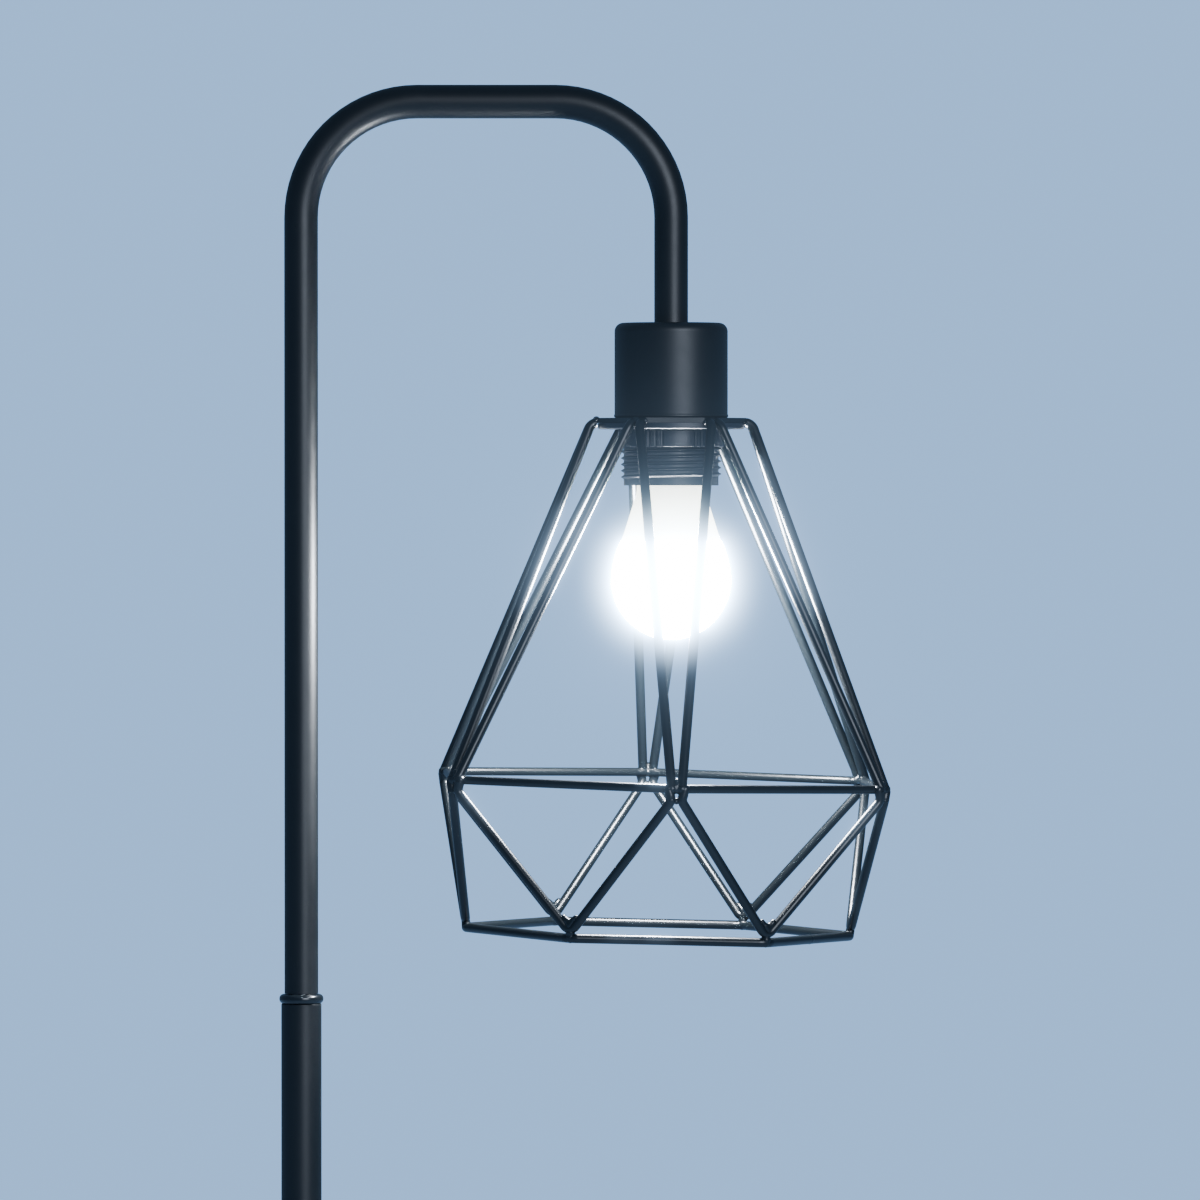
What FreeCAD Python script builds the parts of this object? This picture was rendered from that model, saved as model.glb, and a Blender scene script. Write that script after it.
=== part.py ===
import FreeCAD, Part
import math
import os

import Sketcher
from FreeCAD import Placement, Rotation, Vector

# A wire cage floor lamp. A round steel plate carries a straight pole of three tubes. A bent arch tube
# turns on top of the pole and carries a cup with an E27 lampholder. A cage of welded wire hangs under
# the cup, clamped by the holder's screw ring, and a small globe bulb is screwed into the holder.
# Lengths are in millimetres, angles in degrees. The origin is on the floor under the pole, +Z is up and
# +X points towards the cup.

SIZES = {
    # the plate that the lamp stands on, its pad and the screw that holds the pole
    "base_diameter": 250,
    "base_thickness": 8,
    "base_edge_round": 2.5,
    "pad_thickness": 2,
    "pad_inset": 5,
    "foot_screw_diameter": 10,
    "foot_screw_grip": 16,
    "screw_head_diameter": 18,
    "screw_head_height": 4,
    "screw_key": 6,
    "screw_key_depth": 2.6,
    "washer_diameter": 21,
    "washer_thickness": 1,
    "recess_clearance": 2,
    # the pole
    "pole_diameter": 16,
    "pole_wall": 1,
    "pole_section": 375,
    "pole_end_round": 0.4,
    "foot_bush_length": 20,
    "socket_length": 14,
    "stud_plug_length": 12,
    "stud_diameter": 10,
    "stud_reach": 12,
    "stud_bore": 7,
    "gland_level": 40,
    "gland_neck": 9,
    "gland_rim": 11.5,
    "gland_bore": 6,
    "gland_proud": 1.6,
    # the swivel between pole and arch
    "bead_diameter": 17.5,
    "bead_height": 3.8,
    "bead_round": 1.7,
    "shank_diameter": 8,
    "shank_bore": 5.6,
    "swivel_bush_length": 14,
    "stop_height": 2,
    "stop_angle": 20,
    "collar_height": 4,
    "collar_seat": 7,
    "turning_gap": 0.3,
    "running_clearance": 0.05,
    "thread_clearance": 0.05,
    "push_clearance": 0.02,
    # the arch
    "arch_diameter": 13.4,
    "arch_wall": 1,
    "arch_leg": 308.3,
    "arch_bend": 46,
    "arch_reach": 147,
    "arch_drop": 41.8,
    # the lead inside the tubes
    "lead_diameter": 5,
    "lead_bend": 9.4,
    "lead_split": 0.3,
    "core_diameter": 2,
    "core_spacing": 2.2,
    "core_bend": 1.2,
    "lead_inlet_gap": 0.3,
    "lead_rise": 40,
    "lead_sway": 110,
    "lead_sway_bend": 300,
    "lead_end_gap": 1,
    # the cup and what fixes it
    "cup_diameter": 45,
    "cup_height": 37.7,
    "cup_wall": 0.8,
    "cup_round": 3.5,
    "cup_rim_round": 0.5,
    "head_stud_reach": 15,
    "cup_nut_flats": 14,
    "cup_nut_height": 3.5,
    # the lampholder
    "cap_neck_diameter": 17,
    "cap_neck_height": 5,
    "cap_diameter": 39,
    "cap_height": 20,
    "cap_wall": 2,
    "grub_diameter": 3,
    "grub_length": 3,
    "holder_length": 35,
    "holder_diameter": 37.7,
    "holder_bore": 30,
    "thread_diameter": 39.9,
    "thread_pitch": 2.5,
    "thread_length": 22,
    "thread_start": 90,
    "holder_lip": 2.7,
    "core_disc_thickness": 5.5,
    "core_hole": 3,
    "shell_bore": 26.6,
    "shell_wall": 0.4,
    "shell_length": 25,
    "shell_mouth": 15.5,
    "rivet_diameter": 2.9,
    "tongue_offset": 4.2,
    "side_offset": 9.8,
    "tongue_width": 5,
    "tongue_thickness": 0.4,
    "terminal_width": 9,
    "terminal_depth": 7,
    "terminal_height": 7,
    "terminal_offset": 7,
    "terminal_screw": 3,
    "terminal_screw_head": 4.8,
    # the cage: its plate and its wires
    "cage_turn": 3,
    "cage_lean": 1.45,
    "plate_reach": 29.7,
    "plate_thickness": 2,
    "plate_clearance": 0.4,
    "seat_gap": 0.1,
    "weld_gap": 0.05,
    "weld_step": 0.5,
    "upright_wire": 3.8,
    "upright_gap": 0.15,
    "upright_bend": 4,
    "shoulder_slope": 12,
    "shoulder_land": 0.1,
    "middle_radius": 97,
    "middle_drop": 144.1,
    "middle_wire": 3.4,
    "bottom_radius": 77,
    "bottom_drop": 204.3,
    "bottom_wire": 3.7,
    "hoop_bend": 5,
    "vee_wire": 3.7,
    "vee_bend": 3.2,
    "vee_knee_drop": 4.4,
    "vee_knee_bend": 3.6,
    "vee_spread": 2.5,
    # the screw ring that clamps the cage
    "ring_flange_diameter": 58.2,
    "ring_flange_thickness": 2.4,
    "ring_neck_diameter": 42,
    "ring_neck_height": 7,
    "ring_clearance": 0.15,
    "ring_edge_round": 0.8,
    "ring_foot_round": 0.4,
    "ring_pad_count": 6,
    "ring_pad_heading": 8.6,
    "ring_flute_count": 4,
    "ring_flute_step": 7.5,
    "ring_flute_radius": 0.9,
    # the bulb
    "tip_gap": 0.3,
    "tip_diameter": 9,
    "tip_height": 1.8,
    "tip_land": 6.3,
    "glass_bead_height": 3.2,
    "glass_bead_diameter": 22,
    "bulb_thread_diameter": 26,
    "bulb_thread_root": 24.2,
    "bulb_thread_pitch": 3.6,
    "bulb_cap_height": 20.5,
    "bulb_wall": 1.2,
    "neck_diameter": 27.4,
    "neck_waist": 6,
    "neck_round": 12,
    "flare_height": 16,
    "flare_diameter": 37.5,
    "housing_height": 25,
    "globe_diameter": 47.4,
    "globe_shoulder": 15.5,
    "globe_fullness": 0.72,
    "board_clearance": 0.1,
    "led_board_thickness": 1.6,
    "driver_width": 19,
    "driver_height": 27,
    "driver_thickness": 1.2,
}

doc = FreeCAD.newDocument("wire_cage_floor_lamp")
sheet = doc.addObject("Spreadsheet::Sheet", "Sizes")
for row, (name, value) in enumerate(SIZES.items(), 1):
    sheet.set(f"A{row}", name)
    sheet.set(f"B{row}", str(value))
    sheet.setAlias(f"B{row}", name)
doc.recompute()


class Size:
    """A length worked out from the sheet: its number now, and the expression that keeps it tied."""

    def __init__(self, number, text):
        self.number = number
        self.text = text

    def join(self, other, sign, number):
        return Size(number, f"({self.text} {sign} {as_text(other)})")

    def __add__(self, other):
        return self.join(other, "+", self.number + as_number(other))

    def __sub__(self, other):
        return self.join(other, "-", self.number - as_number(other))

    def __mul__(self, other):
        return self.join(other, "*", self.number * as_number(other))

    def __truediv__(self, other):
        return self.join(other, "/", self.number / as_number(other))

    def __neg__(self):
        return self * -1


def as_number(value):
    return value.number if isinstance(value, Size) else float(value)


def as_text(value):
    return value.text if isinstance(value, Size) else repr(value)


def size(name):
    return Size(float(sheet.get(name)), f"Sizes.{name}")


def tie(item, path, value):
    """Binds one property of an object to the sheet."""
    item.setExpression(path, as_text(value))


def place(item, x=0, y=0, z=0, turn=None):
    """Puts an object at its place, tied to the sheet, after an optional fixed rotation."""
    if turn is not None:
        item.Placement = Placement(Vector(), turn)
    for path, value in (("x", x), ("y", y), ("z", z)):
        tie(item, f"Placement.Base.{path}", value)
    return item


# ---- how the pieces are made -----------------------------------------------------------------------

NODES = []


def node(item, label):
    """Names a finished sub-part, which is then written to a file of that name."""
    item.Label = label
    NODES.append(item)
    return item


def new_body(name):
    return doc.addObject("PartDesign::Body", name)


def new_sketch(body, role, name):
    """A sketch on one of the body's own origin planes."""
    sketch = body.newObject("Sketcher::SketchObject", name)
    plane = next(item for item in body.Origin.OriginFeatures if item.Role == role)
    sketch.AttachmentSupport = (plane, [""])
    sketch.MapMode = "FlatFace"
    return sketch


def tie_point(sketch, line, end, spot):
    """Ties one end of a sketch line to a spot measured from the sketch's origin."""
    for kind, value in zip(("DistanceX", "DistanceY"), spot):
        index = sketch.addConstraint(Sketcher.Constraint(kind, -1, 1, line, end, as_number(value)))
        if isinstance(value, Size):
            sketch.setExpression(f"Constraints[{index}]", value.text)


def draw_outline(sketch, corners):
    """A closed outline of straight lines, every corner tied to the sheet."""
    spots = [Vector(as_number(across), as_number(up), 0) for across, up in corners]
    count = len(spots)
    for start, end in zip(spots, spots[1:] + spots[:1]):
        sketch.addGeometry(Part.LineSegment(start, end))
    for line in range(count):
        sketch.addConstraint(Sketcher.Constraint("Coincident", line, 2, (line + 1) % count, 1))
        tie_point(sketch, line, 1, corners[line])


def draw_circle(sketch, radius, spot=(0, 0)):
    """A circle with its centre and radius tied to the sheet."""
    centre = Vector(as_number(spot[0]), as_number(spot[1]), 0)
    circle = sketch.addGeometry(Part.Circle(centre, Vector(0, 0, 1), as_number(radius)))
    tie_point(sketch, circle, 3, spot)
    index = sketch.addConstraint(Sketcher.Constraint("Radius", circle, as_number(radius)))
    sketch.setExpression(f"Constraints[{index}]", as_text(radius))


def turned(name, corners):
    """A turned piece: a closed outline of (radius, height) corners, spun about the Z axis."""
    body = new_body(name)
    sketch = new_sketch(body, "XZ_Plane", name + "_outline")
    draw_outline(sketch, corners)
    spin = body.newObject("PartDesign::Revolution", name + "_spin")
    spin.Profile = sketch
    spin.ReferenceAxis = (sketch, ["V_Axis"])
    spin.Angle = 360
    return body


def ringed(name, inner, outer, height):
    """A plain turned ring or tube that stands on its own origin."""
    return turned(name, [(inner, 0), (outer, 0), (outer, height), (inner, height)])


def round_edges(body, circles, radius):
    """Rounds the body's circular edges that pass through the given (radius, height) spots."""
    doc.recompute()
    base = body.Tip
    names = []
    for number, edge in enumerate(base.Shape.Edges, 1):
        if not isinstance(edge.Curve, Part.Circle):
            continue
        for across, up in circles:
            off = abs(edge.Curve.Radius - as_number(across)) + abs(edge.Curve.Center.z - as_number(up))
            if off < 0.001:
                names.append(f"Edge{number}")
    if not names:
        raise RuntimeError(f"{body.Name} has no such edge to round")
    fillet = body.newObject("PartDesign::Fillet", body.Name + "_round")
    fillet.Base = (base, names)
    tie(fillet, "Radius", radius)
    return body


def cut_through(body, role, name, radius, spots, length, reverse):
    """Cuts round holes of a given length, square to one origin plane, and checks that they bite."""
    doc.recompute()
    before = body.Shape.Volume
    sketch = new_sketch(body, role, name + "_circles")
    for spot in spots:
        draw_circle(sketch, radius, spot)
    pocket = body.newObject("PartDesign::Pocket", name)
    pocket.Profile = sketch
    pocket.Reversed = reverse
    tie(pocket, "Length", length)
    doc.recompute()
    if body.Shape.Volume >= before:
        raise RuntimeError(f"{name} cuts nothing")
    return body


def cylinder(name, radius, height, angle=360):
    item = doc.addObject("Part::Cylinder", name)
    tie(item, "Radius", radius)
    tie(item, "Height", height)
    tie(item, "Angle", angle)
    return item


def box(name, length, width, height):
    """A block with one corner on its own origin."""
    item = doc.addObject("Part::Box", name)
    tie(item, "Length", length)
    tie(item, "Width", width)
    tie(item, "Height", height)
    return item


def prism(name, flats, height):
    """A hexagon bar, by its size across flats."""
    item = doc.addObject("Part::Prism", name)
    item.Polygon = 6
    tie(item, "Circumradius", flats / math.sqrt(3))
    tie(item, "Height", height)
    return item


def less(name, base, tool):
    item = doc.addObject("Part::Cut", name)
    item.Base = base
    item.Tool = tool
    return item


def joined(name, *pieces):
    item = doc.addObject("Part::MultiFuse", name)
    item.Shapes = list(pieces)
    return item


def grouped(name, *pieces):
    """Several separate solids that share one node."""
    item = doc.addObject("Part::Compound", name)
    item.Links = list(pieces)
    return item


def bent_line(points, bend):
    """Straight runs joined by tangent arcs. bend is one radius, or one for each inner point."""
    inner = points[1:-1]
    bends = bend if isinstance(bend, list) else [bend] * len(inner)
    edges = []
    last = points[0]
    for before, corner, after, radius in zip(points, inner, points[2:], bends):
        back = (before - corner).normalize()
        ahead = (after - corner).normalize()
        half = back.getAngle(ahead) / 2
        inward = (back + ahead).normalize()
        start = corner + back * (radius / math.tan(half))
        middle = corner + inward * (radius / math.sin(half) - radius)
        end = corner + ahead * (radius / math.tan(half))
        edges.append(Part.LineSegment(last, start).toShape())
        edges.append(Part.Arc(start, middle, end).toShape())
        last = end
    edges.append(Part.LineSegment(last, points[-1]).toShape())
    return Part.Wire(edges)


def rod_along(path, diameter):
    """A round rod that follows a path of lines and arcs."""
    first = path.Edges[0]
    start = first.valueAt(first.FirstParameter)
    along = first.tangentAt(first.FirstParameter)
    section = Part.Wire(Part.Circle(start, along, diameter / 2).toShape())
    rod = path.makePipeShell([section], True, False)
    expected = math.pi * diameter ** 2 / 4 * path.Length
    if abs(rod.Volume - expected) > 0.001 * expected:
        raise RuntimeError("a rod's volume differs from its section times its length")
    return rod


def feature(label, shape):
    """A sub-part whose shape is worked out above from the sheet."""
    item = doc.addObject("Part::Feature", label)
    item.Shape = shape
    item.Placement = Placement()
    return node(item, label)


THREAD_FLANK = 0.76
THREAD_LAND = 0.08
THREAD_ROOTED = 0.3


def screw_thread(root, crest, pitch, length, level):
    """A solid ridge that climbs round a core. The widths of its foot and crest are shares of the pitch."""
    flank = THREAD_FLANK * pitch
    land = THREAD_LAND * pitch
    helix = Part.makeHelix(pitch, length, root)
    corners = [
        Vector(root - THREAD_ROOTED, 0, -flank / 2),
        Vector(root - THREAD_ROOTED, 0, flank / 2),
        Vector(crest, 0, land / 2),
        Vector(crest, 0, -land / 2),
    ]
    section = Part.makePolygon(corners + corners[:1])
    ridge = Part.Wire(helix).makePipeShell([section], True, True)
    ridge.translate(Vector(0, 0, level))
    return ridge


# ---- levels and radii that several pieces share ----------------------------------------------------

BASE_FOOT = size("pad_thickness")
BASE_TOP = BASE_FOOT + size("base_thickness")
POLE_TOP = BASE_TOP + size("pole_section") * 3
BEAD_TOP = POLE_TOP + size("bead_height")
ARCH_FOOT = BEAD_TOP + size("turning_gap")
CUP_TOP = ARCH_FOOT + size("arch_leg") - size("arch_drop")
CUP_RIM = CUP_TOP - size("cup_height")
REACH = size("arch_reach")
LEAD_END = CUP_TOP - size("head_stud_reach") - size("lead_end_gap")

POLE_BORE = size("pole_diameter") / 2 - size("pole_wall")
POLE_PLUG = POLE_BORE - size("push_clearance")
ARCH_BORE = size("arch_diameter") / 2 - size("arch_wall")
ARCH_PLUG = ARCH_BORE - size("push_clearance")
STUD = size("stud_diameter") / 2
STUD_HOLE = STUD + size("thread_clearance")


# ---- the base --------------------------------------------------------------------------------------

def make_base():
    """The steel plate, counterbored from below, and the round pad glued under it, over the screw."""
    outer = size("base_diameter") / 2
    hole = size("foot_screw_diameter") / 2 + size("turning_gap")
    recess = size("washer_diameter") / 2 + size("recess_clearance")
    depth = size("screw_head_height") + size("washer_thickness") + size("turning_gap")
    thick = size("base_thickness")
    outline = [(recess, 0), (outer, 0), (outer, thick), (hole, thick), (hole, depth), (recess, depth)]
    plate = turned("base_plate", outline)
    round_edges(plate, [(outer, thick)], size("base_edge_round"))
    node(place(plate, z=BASE_FOOT), "base_plate")
    node(cylinder("base_pad", outer - size("pad_inset"), size("pad_thickness")), "base_pad")


def make_foot_screw():
    """The screw and washer that pull the pole down on the plate, and the bush that they pull on."""
    head_foot = BASE_FOOT + size("turning_gap")
    washer_foot = head_foot + size("screw_head_height")
    shaft = size("foot_screw_diameter") / 2
    head = size("screw_head_diameter") / 2
    key = size("screw_key_depth")
    neck = size("screw_head_height")
    tip = BASE_TOP - head_foot + size("foot_screw_grip")
    outline = [(0, 0), (head, 0), (head, neck), (shaft, neck), (shaft, tip), (0, tip)]
    blank = turned("foot_screw_blank", outline)
    socket = prism("foot_screw_key", size("screw_key"), key)
    screw = less("foot_screw", blank, socket)
    node(place(screw, z=head_foot), "foot_screw")
    washer = ringed("foot_washer", shaft + size("thread_clearance"), size("washer_diameter") / 2,
                    size("washer_thickness"))
    node(place(washer, z=washer_foot), "foot_washer")
    bush = ringed("foot_bush", shaft + size("thread_clearance"), POLE_PLUG, size("foot_bush_length"))
    node(place(bush, z=BASE_TOP), "foot_bush")


# ---- the pole --------------------------------------------------------------------------------------

def make_pole():
    """Three tubes, one on another. The lowest has the hole for the cord gland at its back."""
    outer = size("pole_diameter") / 2
    length = size("pole_section")
    tubes = []
    for number, label in enumerate(("pole_lower", "pole_middle", "pole_upper")):
        tube = ringed(label, POLE_BORE, outer, length)
        round_edges(tube, [(outer, 0), (outer, length)], size("pole_end_round"))
        if label == "pole_lower":
            spots = [(0, size("gland_level"))]
            cut_through(tube, "YZ_Plane", "gland_hole", size("gland_neck") / 2, spots, outer * 2, False)
        node(place(tube, z=BASE_TOP + length * number), label)
        tubes.append(tube)
    return tubes[0]


def make_pole_joints():
    """Tapped sockets in the three upper ends, and studs in the two lower ends that screw into them."""
    length = size("socket_length")
    sockets = []
    for number in range(3):
        socket = ringed(f"pole_socket_{number + 1}", STUD_HOLE, POLE_PLUG, length)
        sockets.append(place(socket, z=BASE_TOP + size("pole_section") * (number + 1) - length))
    node(grouped("pole_sockets", *sockets), "pole_sockets")
    bore = size("stud_bore") / 2
    reach = size("stud_reach")
    top = reach + size("stud_plug_length")
    outline = [(bore, 0), (STUD, 0), (STUD, reach), (POLE_PLUG, reach), (POLE_PLUG, top), (bore, top)]
    studs = []
    for number in range(2):
        stud = turned(f"pole_stud_{number + 1}", outline)
        studs.append(place(stud, z=BASE_TOP + size("pole_section") * (number + 1) - reach))
    node(grouped("pole_studs", *studs), "pole_studs")


def make_cord_gland(pole):
    """The bushing at the back of the pole, moulded to the tube and snapped into its hole."""
    proud = size("pole_diameter") / 2 + size("gland_proud")
    sunk = POLE_BORE - size("gland_proud")
    length = proud - sunk
    sideways = Rotation(Vector(0, 1, 0), 90)
    blank = place(cylinder("gland_blank", size("gland_rim") / 2, length), -proud,
                  z=BASE_TOP + size("gland_level"), turn=sideways)
    bore = place(cylinder("gland_bore_tool", size("gland_bore") / 2, length * 3), -proud - length,
                 z=BASE_TOP + size("gland_level"), turn=sideways)
    seated = less("gland_seated", blank, pole)
    node(less("cord_gland", seated, bore), "cord_gland")


# ---- the swivel ------------------------------------------------------------------------------------

def make_swivel():
    """The bead, the hollow stud on which the arch turns, and the collar that keeps the arch on it."""
    bead_outer = size("bead_diameter") / 2
    bead_height = size("bead_height")
    bead = ringed("coupling_bead", STUD_HOLE, bead_outer, bead_height)
    round_edges(bead, [(bead_outer, 0), (bead_outer, bead_height)], size("bead_round"))
    node(place(bead, z=POLE_TOP), "coupling_bead")

    bore = size("shank_bore") / 2
    shank = size("shank_diameter") / 2
    seat = size("collar_seat") / 2
    root = size("stud_reach") + bead_height
    stop = size("stop_height")
    shoulder = root + size("turning_gap") + size("swivel_bush_length") + stop + size("turning_gap")
    top = shoulder + size("collar_height")
    outline = [(bore, 0), (STUD, 0), (STUD, root), (shank, root), (shank, shoulder), (seat, shoulder),
               (seat, top), (bore, top)]
    stud = turned("swivel_stud", outline)
    node(place(stud, z=POLE_TOP - size("stud_reach")), "swivel_stud")

    collar_outer = ARCH_BORE - size("turning_gap")
    ring = ringed("collar_ring", seat + size("push_clearance"), collar_outer, size("collar_height"))
    collar_foot = POLE_TOP - size("stud_reach") + shoulder
    place(ring, z=collar_foot)
    tab_height = stop - size("turning_gap")
    tab = stop_tab("collar_tab", collar_outer, tab_height, collar_foot - tab_height, 180)
    node(joined("swivel_collar", ring, tab), "swivel_collar")


def stop_tab(name, outer, height, level, heading):
    """A short curved tab of the swivel's stop, clear of the shank."""
    turn = Rotation(Vector(0, 0, 1), heading - as_number(size("stop_angle")) / 2)
    inner = size("shank_diameter") / 2 + size("turning_gap")
    wedge = place(cylinder(name + "_wedge", outer, height, size("stop_angle")), z=level, turn=turn)
    core = place(cylinder(name + "_core", inner, height), z=level)
    return less(name, wedge, core)


def make_swivel_bush():
    """The bush in the arch's foot. Its tab runs against the collar's at either end of the swing."""
    inner = size("shank_diameter") / 2 + size("running_clearance")
    length = size("swivel_bush_length")
    sleeve = place(ringed("bush_sleeve", inner, ARCH_PLUG, length), z=ARCH_FOOT)
    height = size("stop_height") - size("turning_gap")
    tab = stop_tab("bush_tab", ARCH_BORE - size("turning_gap"), height, ARCH_FOOT + length, 0)
    node(joined("swivel_bush", sleeve, tab), "swivel_bush")


# ---- the arch --------------------------------------------------------------------------------------

def make_arch():
    """The tube that rises from the bead, goes over in two bends and comes down to the cup."""
    body = new_body("arch_tube")
    path = new_sketch(body, "XZ_Plane", "arch_path")
    bend = size("arch_bend")
    leg = size("arch_leg")
    top = leg + bend
    end = leg - size("arch_drop")
    corners = [(0, 0), (0, leg), (bend, top), (REACH - bend, top), (REACH, leg), (REACH, end)]
    spots = [Vector(as_number(across), as_number(up), 0) for across, up in corners]
    radius = as_number(bend)
    slant = radius * math.sqrt(0.5)
    left = Vector(radius - slant, as_number(leg) + slant, 0)
    right = Vector(as_number(REACH) - radius + slant, as_number(leg) + slant, 0)
    path.addGeometry(Part.LineSegment(spots[0], spots[1]))
    path.addGeometry(Part.Arc(spots[1], left, spots[2]))
    path.addGeometry(Part.LineSegment(spots[2], spots[3]))
    path.addGeometry(Part.Arc(spots[3], right, spots[4]))
    path.addGeometry(Part.LineSegment(spots[4], spots[5]))
    for line, (start, end) in {0: (0, 1), 2: (2, 3), 4: (4, 5)}.items():
        tie_point(path, line, 1, corners[start])
        tie_point(path, line, 2, corners[end])
    # an arc drawn clockwise is kept with its ends swapped, so each is joined by where its ends lie
    for arc, (low, high) in {1: (0, 2), 3: (4, 2)}.items():
        for line, end in ((low, 2 if low == 0 else 1), (high, 1 if low == 0 else 2)):
            spot = path.getPoint(line, end)
            near = 1 if (path.getPoint(arc, 1) - spot).Length < 0.001 else 2
            path.addConstraint(Sketcher.Constraint("Coincident", arc, near, line, end))
        index = path.addConstraint(Sketcher.Constraint("Radius", arc, radius))
        path.setExpression(f"Constraints[{index}]", bend.text)
    section = new_sketch(body, "XY_Plane", "arch_section")
    draw_circle(section, size("arch_diameter") / 2)
    draw_circle(section, ARCH_BORE)
    pipe = body.newObject("PartDesign::AdditivePipe", "arch_sweep")
    pipe.Profile = section
    pipe.Spine = (path, [])
    node(place(body, z=ARCH_FOOT), "arch_tube")


def make_head_stud():
    """The plug in the arch's end, with the threaded stub that carries the cup and the holder."""
    bore = size("stud_bore") / 2
    reach = size("head_stud_reach")
    top = reach + size("stud_plug_length")
    outline = [(bore, 0), (STUD, 0), (STUD, reach), (ARCH_PLUG, reach), (ARCH_PLUG, top), (bore, top)]
    node(place(turned("head_stud", outline), REACH, z=CUP_TOP - reach), "head_stud")


def make_leads():
    """The lead in the pole and the lead in the arch, which meet in the middle of the swivel."""
    width = as_number(size("lead_diameter"))
    bend = as_number(size("lead_bend"))
    inlet = as_number(POLE_BORE - size("gland_proud"))
    level = as_number(BASE_TOP + size("gland_level"))
    split = as_number(BEAD_TOP + size("turning_gap") / 2)
    half_gap = as_number(size("lead_split")) / 2
    start = as_number(size("lead_inlet_gap")) - inlet
    aside = start + bend + as_number(size("push_clearance"))
    rise = level + as_number(size("lead_rise"))
    sway = as_number(size("lead_sway_bend"))
    points = [
        Vector(start, 0, level),
        Vector(aside, 0, level),
        Vector(aside, 0, rise),
        Vector(0, 0, rise + as_number(size("lead_sway"))),
        Vector(0, 0, split - half_gap),
    ]
    feature("pole_lead", rod_along(bent_line(points, [bend, sway, sway]), width))
    reach = as_number(REACH)
    crown = as_number(ARCH_FOOT + size("arch_leg") + size("arch_bend"))
    end = as_number(LEAD_END)
    points = [
        Vector(0, 0, split + half_gap),
        Vector(0, 0, crown),
        Vector(reach, 0, crown),
        Vector(reach, 0, end),
    ]
    feature("arch_lead", rod_along(bent_line(points, as_number(size("arch_bend"))), width))


# ---- the cup and the lampholder --------------------------------------------------------------------

CAP_TOP = CUP_TOP - size("cup_wall") - size("cup_nut_height") - size("turning_gap")
CAP_FOOT = CAP_TOP - size("cap_neck_height") - size("cap_height")
HOLDER_FOOT = CAP_FOOT - size("holder_length")
CORE_TOP = CAP_FOOT
CORE_FOOT = CORE_TOP - size("core_disc_thickness")


def make_cup():
    """The deep-drawn cup that hides the holder, open below, and the nut that holds it to the stud."""
    outer = size("cup_diameter") / 2
    wall = size("cup_wall")
    inner = outer - wall
    height = size("cup_height")
    ceiling = height - wall
    outline = [(STUD_HOLE, ceiling), (inner, ceiling), (inner, 0), (outer, 0), (outer, height),
               (STUD_HOLE, height)]
    cup = turned("lamp_cup", outline)
    round_edges(cup, [(outer, height)], size("cup_round"))
    round_edges(cup, [(inner, ceiling)], size("cup_round") - wall)
    round_edges(cup, [(outer, 0)], size("cup_rim_round"))
    node(place(cup, REACH, z=CUP_RIM), "lamp_cup")
    blank = place(prism("cup_nut_blank", size("cup_nut_flats"), size("cup_nut_height")), REACH,
                  z=CUP_TOP - wall - size("cup_nut_height"))
    hole = place(cylinder("cup_nut_hole", STUD_HOLE, size("cup_nut_height")), REACH,
                 z=CUP_TOP - wall - size("cup_nut_height"))
    node(less("cup_nut", blank, hole), "cup_nut")


def make_holder_cap():
    """The upper half of the lampholder, screwed on the stud and locked there by a grub screw."""
    neck = size("cap_neck_diameter") / 2
    outer = size("cap_diameter") / 2
    inner = outer - size("cap_wall")
    height = size("cap_height")
    ceiling = height - size("cap_wall")
    top = height + size("cap_neck_height")
    outline = [(inner, 0), (outer, 0), (outer, height), (neck, height), (neck, top), (STUD_HOLE, top),
               (STUD_HOLE, ceiling), (inner, ceiling)]
    cap = turned("holder_cap", outline)
    hole = size("grub_diameter") / 2 + size("thread_clearance")
    spots = [(0, height + size("cap_neck_height") / 2)]
    cut_through(cap, "YZ_Plane", "grub_hole", hole, spots, outer, True)
    node(place(cap, REACH, z=CAP_FOOT), "holder_cap")
    grub = cylinder("lock_screw", size("grub_diameter") / 2, size("grub_length"))
    level = CAP_TOP - size("cap_neck_height") / 2
    place(grub, REACH + STUD_HOLE, z=level, turn=Rotation(Vector(0, 1, 0), 90))
    node(grub, "lock_screw")


def make_holder_body():
    """The skirt of the lampholder. Its outer thread takes the ring that clamps the cage."""
    root = as_number(size("holder_diameter") / 2)
    bore = as_number(size("holder_bore") / 2)
    length = as_number(size("holder_length"))
    seat = as_number(size("core_disc_thickness"))
    seat_bore = as_number(size("cap_diameter") / 2 - size("cap_wall"))
    tube = Part.makeCylinder(root, length).cut(Part.makeCylinder(bore, length))
    tube = tube.cut(Part.makeCylinder(seat_bore, seat, Vector(0, 0, length - seat)))
    crest = as_number(size("thread_diameter") / 2)
    pitch = as_number(size("thread_pitch"))
    turns_length = as_number(size("thread_length"))
    ridge = screw_thread(root, crest, pitch, turns_length, as_number(size("holder_lip")))
    ridge.rotate(Vector(), Vector(0, 0, 1), as_number(size("thread_start")))
    place(feature("holder_body", tube.fuse(ridge)), REACH, z=HOLDER_FOOT)


def make_holder_core():
    """The insulating disc between cap and skirt, with a hole for each contact's rivet."""
    disc = ringed("holder_core_disc", size("core_hole") / 2,
                  size("cap_diameter") / 2 - size("cap_wall") - size("turning_gap"),
                  size("core_disc_thickness"))
    hole = size("rivet_diameter") / 2 + size("push_clearance")
    thick = size("core_disc_thickness")
    spots = [(size("tongue_offset"), 0), (-size("side_offset"), 0)]
    cut_through(disc, "XY_Plane", "rivet_holes", hole, spots, thick, True)
    node(place(disc, REACH, z=CORE_FOOT), "holder_core")


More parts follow.
